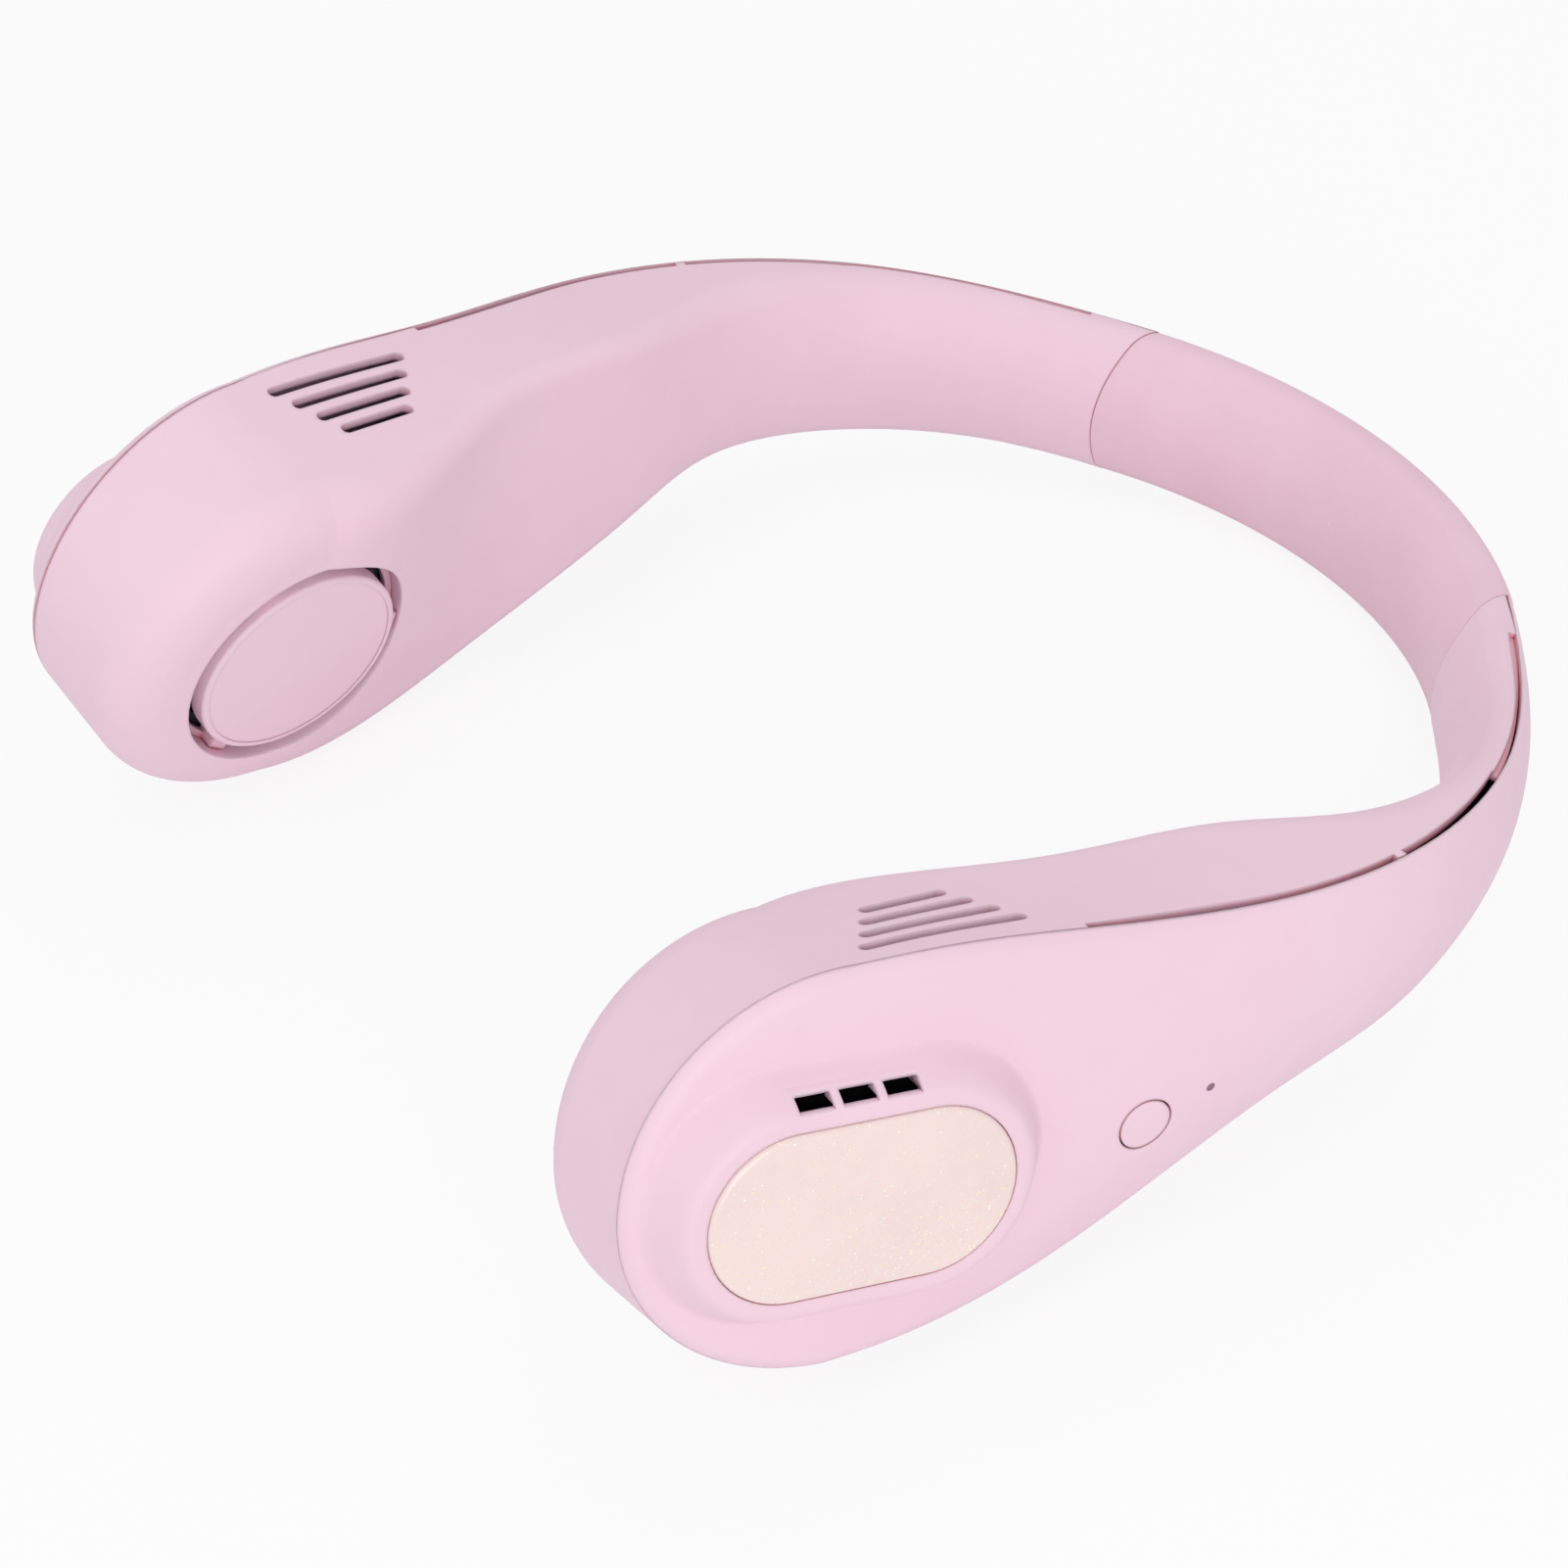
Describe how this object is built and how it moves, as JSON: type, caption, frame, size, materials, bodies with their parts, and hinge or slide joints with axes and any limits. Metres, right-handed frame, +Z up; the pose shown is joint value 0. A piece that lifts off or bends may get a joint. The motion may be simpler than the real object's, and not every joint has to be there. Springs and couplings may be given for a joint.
{
  "type": "electric neck fan",
  "caption": "Bladeless-style neck fan: round fan pods on hollow arms joined by a soft band, with an outlet slot along each rim, a glitter panel and a press button.",
  "frame": {"origin": "middle of the fan's base on the table it lies on", "axes": "+Z up, +X to the arm with the button, +Y to the back of the neck"},
  "size_m": [0.2202, 0.216, 0.0721],
  "materials": {
    "pink_plastic": "matte",
    "soft_band": "soft matte",
    "glitter_resin": "gloss with glitter",
    "fan_plastic": "matte",
    "dark_plastic": "matte",
    "steel": "satin",
    "core_steel": "laminated",
    "bronze": "sintered",
    "cell_foil": "foil",
    "board_green": "solder mask",
    "light_pipe": "clear",
    "lead_rubber": "matte"
  },
  "bodies": {
    "band": {"neck_band": "soft_band", "band_spring": "steel", "band_leads": "lead_rubber"},
    "right_arm": {"right_inner_shell": "pink_plastic", "right_outer_cover": "pink_plastic", "right_decor_panel": "glitter_resin", "right_intake_cap": "pink_plastic", "right_motor_stator": "core_steel", "right_motor_bearings": "bronze", "right_motor_mount": "dark_plastic", "right_motor_screws": "steel", "right_volute": "dark_plastic", "right_volute_screws": "steel", "right_duct_floor": "dark_plastic", "right_battery": "cell_foil", "right_band_clamp": "dark_plastic", "main_board": "board_green", "button_switch": "dark_plastic", "status_led": "light_pipe", "charging_board": "board_green", "usb_c_socket": "steel"},
    "right_fan": {"right_impeller": "fan_plastic", "right_motor_rotor": "steel", "right_motor_shaft": "steel"},
    "left_arm": {"left_inner_shell": "pink_plastic", "left_outer_cover": "pink_plastic", "left_decor_panel": "glitter_resin", "left_intake_cap": "pink_plastic", "left_motor_stator": "core_steel", "left_motor_bearings": "bronze", "left_motor_mount": "dark_plastic", "left_motor_screws": "steel", "left_volute": "dark_plastic", "left_volute_screws": "steel", "left_duct_floor": "dark_plastic", "left_battery": "cell_foil", "left_band_clamp": "dark_plastic"},
    "left_fan": {"left_impeller": "fan_plastic", "left_motor_rotor": "steel", "left_motor_shaft": "steel"},
    "button": {"power_button": "pink_plastic"}
  },
  "joints": [
    {"name": "right_arm_flex", "type": "hinge", "parent": "band", "child": "right_arm", "pos_m": [0.02413, 0.09871, 0.01318], "axis": [0, 0.2535, 0.9673], "range_deg": [-6, 16], "stiffness_Nm_per_rad": 0.6, "deforming": ["neck_band", "band_spring", "band_leads"]},
    {"name": "left_arm_flex", "type": "hinge", "parent": "band", "child": "left_arm", "pos_m": [-0.02413, 0.09871, 0.01318], "axis": [0, -0.2535, -0.9673], "range_deg": [-6, 16], "stiffness_Nm_per_rad": 0.6, "deforming": ["neck_band", "band_spring", "band_leads"]},
    {"name": "right_fan_spin", "type": "hinge", "parent": "right_arm", "child": "right_fan", "pos_m": [0.0985, -0.07355, 0.03848], "axis": [0.9619, -0.0426, 0.27], "continuous": true},
    {"name": "left_fan_spin", "type": "hinge", "parent": "left_arm", "child": "left_fan", "pos_m": [-0.0985, -0.07355, 0.03848], "axis": [-0.9619, -0.0426, 0.27], "continuous": true},
    {"name": "power_button_press", "type": "slide", "parent": "right_arm", "child": "button", "axis": [-0.9848, 0.1456, -0.0947], "range_m": [0, 0.0004], "stiffness_N_per_m": 900}
  ]
}
